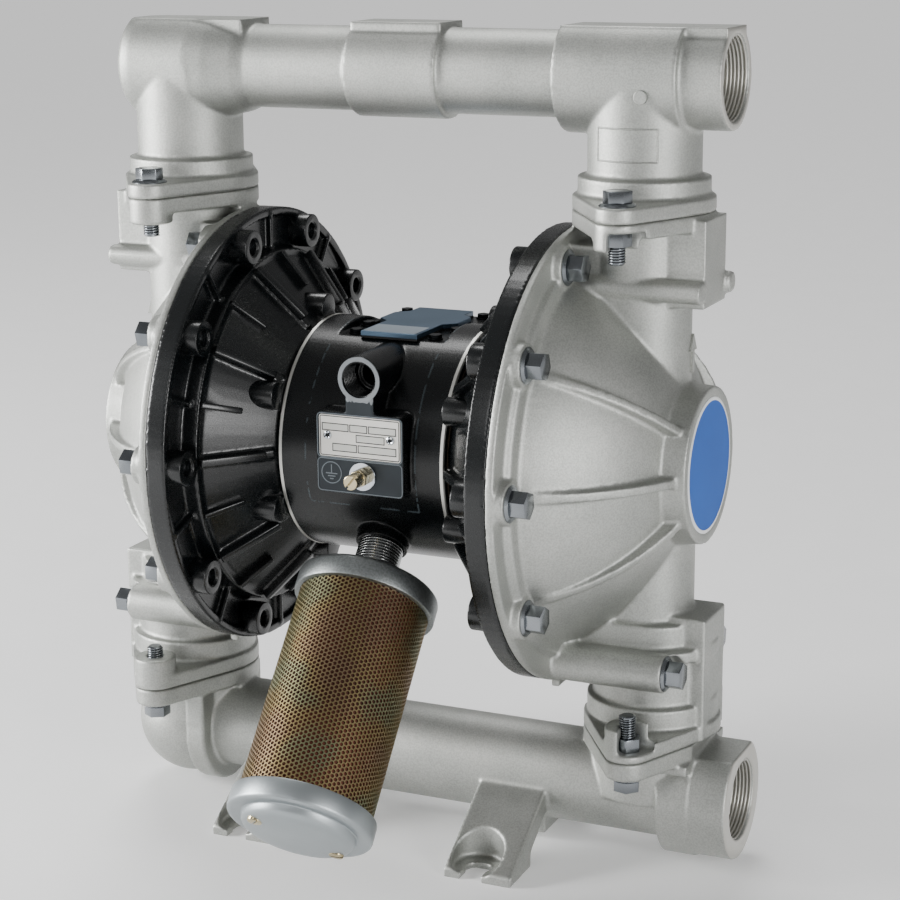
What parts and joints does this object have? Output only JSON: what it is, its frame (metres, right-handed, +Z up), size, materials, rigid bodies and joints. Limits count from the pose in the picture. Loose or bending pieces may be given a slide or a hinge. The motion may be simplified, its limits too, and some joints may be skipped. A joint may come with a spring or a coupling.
{
  "type": "air operated diaphragm pump",
  "caption": "Air operated double diaphragm pump with cast fluid covers, black air covers, ball check manifolds, an angled exhaust muffler and slotted feet.",
  "frame": {"origin": "on the floor below the middle of the diaphragm shaft", "axes": "+X along the shaft towards the ported side, -Y towards the air inlet and muffler, +Z up"},
  "size_m": [0.413, 0.3471, 0.4945],
  "materials": {
    "white_enamel": "satin stone-grey coating over cast metal",
    "black_enamel": "semi-gloss black coating over cast metal",
    "zinc_steel": "zinc-plated steel",
    "steel": "machined steel",
    "label_metal": "bare anodised plate",
    "badge": "plain blue disc",
    "brass": "bare brass",
    "cast_grey": "raw cast metal",
    "mesh_bronze": "brown perforated sheet",
    "fibre": "fibre felt",
    "rubber": "moulded rubber",
    "ball_rubber": "smooth moulded elastomer",
    "plastic": "low-friction plastic",
    "valve_cover": "blue-grey coated plate",
    "gasket": "sheet gasket",
    "black_screw": "blackened steel"
  },
  "bodies": {
    "pump": {"centre_housing": "black_enamel", "valve_plate": "steel", "valve_gasket": "gasket", "valve_cover": "valve_cover", "valve_cover_screws": "black_screw", "outlet_manifold": "white_enamel", "inlet_manifold": "white_enamel", "manifold_bolts": "zinc_steel", "muffler_nipple": "zinc_steel", "muffler_top_cap": "cast_grey", "muffler_shell": "mesh_bronze", "muffler_element": "fibre", "muffler_bottom_cap": "cast_grey", "muffler_screws": "brass", "data_plate": "label_metal", "data_plate_rivets": "zinc_steel", "ground_washer": "zinc_steel", "ground_screw": "brass", "left_air_cover": "black_enamel", "left_air_cover_gasket": "gasket", "left_fluid_cover": "white_enamel", "left_hub_badge": "badge", "left_cover_bolts": "zinc_steel", "left_shaft_bushing": "plastic", "left_trip_rod_bushing": "plastic", "left_diaphragm": "rubber", "left_inlet_seat": "plastic", "left_outlet_seat": "plastic", "right_air_cover": "black_enamel", "right_air_cover_gasket": "gasket", "right_fluid_cover": "white_enamel", "right_hub_badge": "badge", "right_cover_bolts": "zinc_steel", "right_shaft_bushing": "plastic", "right_trip_rod_bushing": "plastic", "right_diaphragm": "rubber", "right_inlet_seat": "plastic", "right_outlet_seat": "plastic"},
    "shaft_group": {"diaphragm_shaft": "steel", "left_air_plate": "steel", "left_fluid_plate": "steel", "right_air_plate": "steel", "right_fluid_plate": "steel"},
    "trip_rod": {"trip_rod": "steel"},
    "valve_spool": {"valve_spool": "steel", "valve_carriage": "plastic"},
    "left_inlet_ball": {"left_inlet_ball": "ball_rubber"},
    "left_outlet_ball": {"left_outlet_ball": "ball_rubber"},
    "right_inlet_ball": {"right_inlet_ball": "ball_rubber"},
    "right_outlet_ball": {"right_outlet_ball": "ball_rubber"}
  },
  "joints": [
    {"name": "shaft_stroke", "type": "slide", "parent": "pump", "child": "shaft_group", "axis": [1, 0, 0], "range_m": [-0.017, 0.017], "deforming": ["left_diaphragm", "right_diaphragm"]},
    {"name": "trip_rod_stroke", "type": "slide", "parent": "pump", "child": "trip_rod", "axis": [1, 0, 0], "range_m": [-0.004, 0.004]},
    {"name": "spool_stroke", "type": "slide", "parent": "pump", "child": "valve_spool", "axis": [1, 0, 0], "range_m": [-0.005, 0.005]},
    {"name": "left_inlet_ball_lift", "type": "slide", "parent": "pump", "child": "left_inlet_ball", "axis": [0, 0, 1], "range_m": [0, 0.011]},
    {"name": "left_outlet_ball_lift", "type": "slide", "parent": "pump", "child": "left_outlet_ball", "axis": [0, 0, 1], "range_m": [0, 0.011]},
    {"name": "right_inlet_ball_lift", "type": "slide", "parent": "pump", "child": "right_inlet_ball", "axis": [0, 0, 1], "range_m": [0, 0.011]},
    {"name": "right_outlet_ball_lift", "type": "slide", "parent": "pump", "child": "right_outlet_ball", "axis": [0, 0, 1], "range_m": [0, 0.011]}
  ],
  "couplings": [
    {"joint": "trip_rod_stroke", "follows": "shaft_stroke", "ratio": 0.235}
  ]
}
